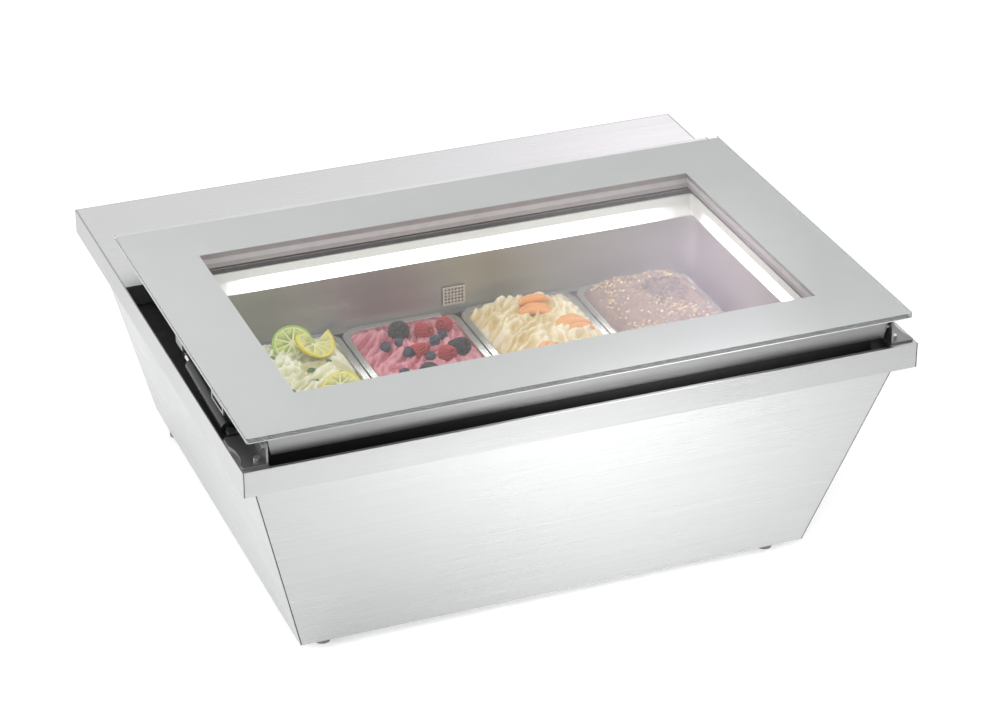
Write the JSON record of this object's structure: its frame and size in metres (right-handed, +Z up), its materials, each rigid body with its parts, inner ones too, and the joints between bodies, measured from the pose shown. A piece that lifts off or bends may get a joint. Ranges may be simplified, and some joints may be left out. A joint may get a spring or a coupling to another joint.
{
  "type": "chest freezer",
  "caption": "Countertop display freezer with a glass lid on gas struts over a lit tank of lift-out ice cream pans, with the cooling machine behind.",
  "frame": {"origin": "on the counter, under the middle of the outline", "axes": "+X along the counter, to the customer's right; +Y towards the operator; +Z up"},
  "size_m": [0.88, 0.76, 0.385],
  "materials": {
    "shell_steel": "satin",
    "tray_steel": "plain",
    "channel_black": "satin black",
    "foam": "rigid foam",
    "tank_steel": "brushed",
    "diffuser_white": "frosted, lit",
    "led_board": "white board",
    "copper": "bare copper",
    "cover_beige": "moulded",
    "probe_steel": "plain",
    "pan_steel": "satin",
    "citrus_ice": "soft, moist",
    "berry_ice": "soft, moist",
    "vanilla_ice": "soft, moist",
    "chocolate_ice": "soft, moist",
    "machine_black": "gloss black",
    "grommet_rubber": "plain",
    "fin_aluminium": "plain",
    "shroud_plastic": "moulded",
    "blade_plastic": "moulded",
    "control_black": "moulded",
    "display_red": "tinted window",
    "key_grey": "moulded",
    "rocker_red": "moulded",
    "driver_white": "moulded",
    "zinc_screw": "zinc plate",
    "bracket_steel": "satin",
    "pin_steel": "ground",
    "foot_rubber": "moulded",
    "clear_glass": "tempered, clear",
    "border_enamel": "grey print under the glass",
    "lid_steel": "satin",
    "spacer_brown": "plain",
    "gasket_rubber": "soft",
    "strut_black": "satin black",
    "rod_chrome": "ground"
  },
  "bodies": {
    "cabinet": {"base_tray": "tray_steel", "front_panel": "shell_steel", "left_panel": "shell_steel", "right_panel": "shell_steel", "rear_panel": "shell_steel", "rim_frame": "shell_steel", "channel_tray": "channel_black", "rear_shelf": "shell_steel", "insulation": "foam", "tank_liner": "tank_steel", "tank_collar": "shell_steel", "light_diffuser": "diffuser_white", "led_strips": "led_board", "cooling_coil": "copper", "sensor_cover": "cover_beige", "temperature_probe": "probe_steel", "pan_rails": "tank_steel", "compressor": "machine_black", "compressor_grommets": "grommet_rubber", "condenser": "fin_aluminium", "fan_shroud": "shroud_plastic", "fan_motor": "machine_black", "filter_drier": "copper", "refrigerant_lines": "copper", "controller_case": "control_black", "display_window": "display_red", "switch_housing": "control_black", "power_inlet": "control_black", "led_driver": "driver_white", "cabinet_screws": "zinc_screw", "hinge_brackets": "bracket_steel", "bracket_bolts": "zinc_screw", "hinge_pins": "pin_steel", "strut_anchors": "bracket_steel", "feet": "foot_rubber"},
    "lid": {"lid_glass": "clear_glass", "lid_border": "border_enamel", "lid_frame": "lid_steel", "lower_pane": "clear_glass", "pane_spacer": "spacer_brown", "lid_gasket": "gasket_rubber", "lid_brackets": "bracket_steel"},
    "tube_left": {"strut_tube_left": "strut_black"},
    "tube_right": {"strut_tube_right": "strut_black"},
    "rod_left": {"strut_rod_left": "rod_chrome"},
    "rod_right": {"strut_rod_right": "rod_chrome"},
    "fan": {"fan_blades": "blade_plastic"},
    "rocker": {"switch_rocker": "rocker_red"},
    "key_set": {"set_key": "key_grey"},
    "key_up": {"up_key": "key_grey"},
    "key_down": {"down_key": "key_grey"},
    "tub_1": {"pan_1": "pan_steel", "ice_cream_1": "citrus_ice"},
    "tub_2": {"pan_2": "pan_steel", "ice_cream_2": "berry_ice"},
    "tub_3": {"pan_3": "pan_steel", "ice_cream_3": "vanilla_ice"},
    "tub_4": {"pan_4": "pan_steel", "ice_cream_4": "chocolate_ice"}
  },
  "joints": [
    {"name": "lid_hinge", "type": "hinge", "parent": "cabinet", "child": "lid", "pos_m": [0, -0.358, 0.363], "axis": [1, 0, 0], "range_deg": [0, 55]},
    {"name": "strut_left_turn", "type": "hinge", "parent": "cabinet", "child": "tube_left", "pos_m": [-0.423, -0.282, 0.341], "axis": [1, 0, 0], "range_deg": [0, 66.6]},
    {"name": "strut_left_slide", "type": "slide", "parent": "tube_left", "child": "rod_left", "axis": [0, 0.9972, 0.0751], "range_m": [0, 0.0593]},
    {"name": "strut_right_turn", "type": "hinge", "parent": "cabinet", "child": "tube_right", "pos_m": [0.423, -0.282, 0.341], "axis": [1, 0, 0], "range_deg": [0, 66.6]},
    {"name": "strut_right_slide", "type": "slide", "parent": "tube_right", "child": "rod_right", "axis": [0, 0.9972, 0.0751], "range_m": [0, 0.0593]},
    {"name": "pan_1_lift", "type": "slide", "parent": "cabinet", "child": "tub_1", "axis": [0, 0, 1], "range_m": [0, 0.06]},
    {"name": "pan_2_lift", "type": "slide", "parent": "cabinet", "child": "tub_2", "axis": [0, 0, 1], "range_m": [0, 0.06]},
    {"name": "pan_3_lift", "type": "slide", "parent": "cabinet", "child": "tub_3", "axis": [0, 0, 1], "range_m": [0, 0.06]},
    {"name": "pan_4_lift", "type": "slide", "parent": "cabinet", "child": "tub_4", "axis": [0, 0, 1], "range_m": [0, 0.06]},
    {"name": "fan_spin", "type": "hinge", "parent": "cabinet", "child": "fan", "pos_m": [0.09, 0.26, 0.115], "axis": [1, 0, 0], "continuous": true},
    {"name": "switch_rock", "type": "hinge", "parent": "cabinet", "child": "rocker", "pos_m": [0.215, 0.367, 0.211], "axis": [1, 0, 0], "range_deg": [-24, 0]},
    {"name": "set_press", "type": "slide", "parent": "cabinet", "child": "key_set", "axis": [0, -1, 0], "range_m": [0, 0.001], "stiffness_N_per_m": 400},
    {"name": "up_press", "type": "slide", "parent": "cabinet", "child": "key_up", "axis": [0, -1, 0], "range_m": [0, 0.001], "stiffness_N_per_m": 400},
    {"name": "down_press", "type": "slide", "parent": "cabinet", "child": "key_down", "axis": [0, -1, 0], "range_m": [0, 0.001], "stiffness_N_per_m": 400}
  ],
  "couplings": [
    {"joint": "strut_left_turn", "follows": "lid_hinge", "ratio": 1.2089},
    {"joint": "strut_left_slide", "follows": "lid_hinge", "m_per_rad": 0.06165},
    {"joint": "strut_right_turn", "follows": "lid_hinge", "ratio": 1.2089},
    {"joint": "strut_right_slide", "follows": "lid_hinge", "m_per_rad": 0.06165}
  ]
}
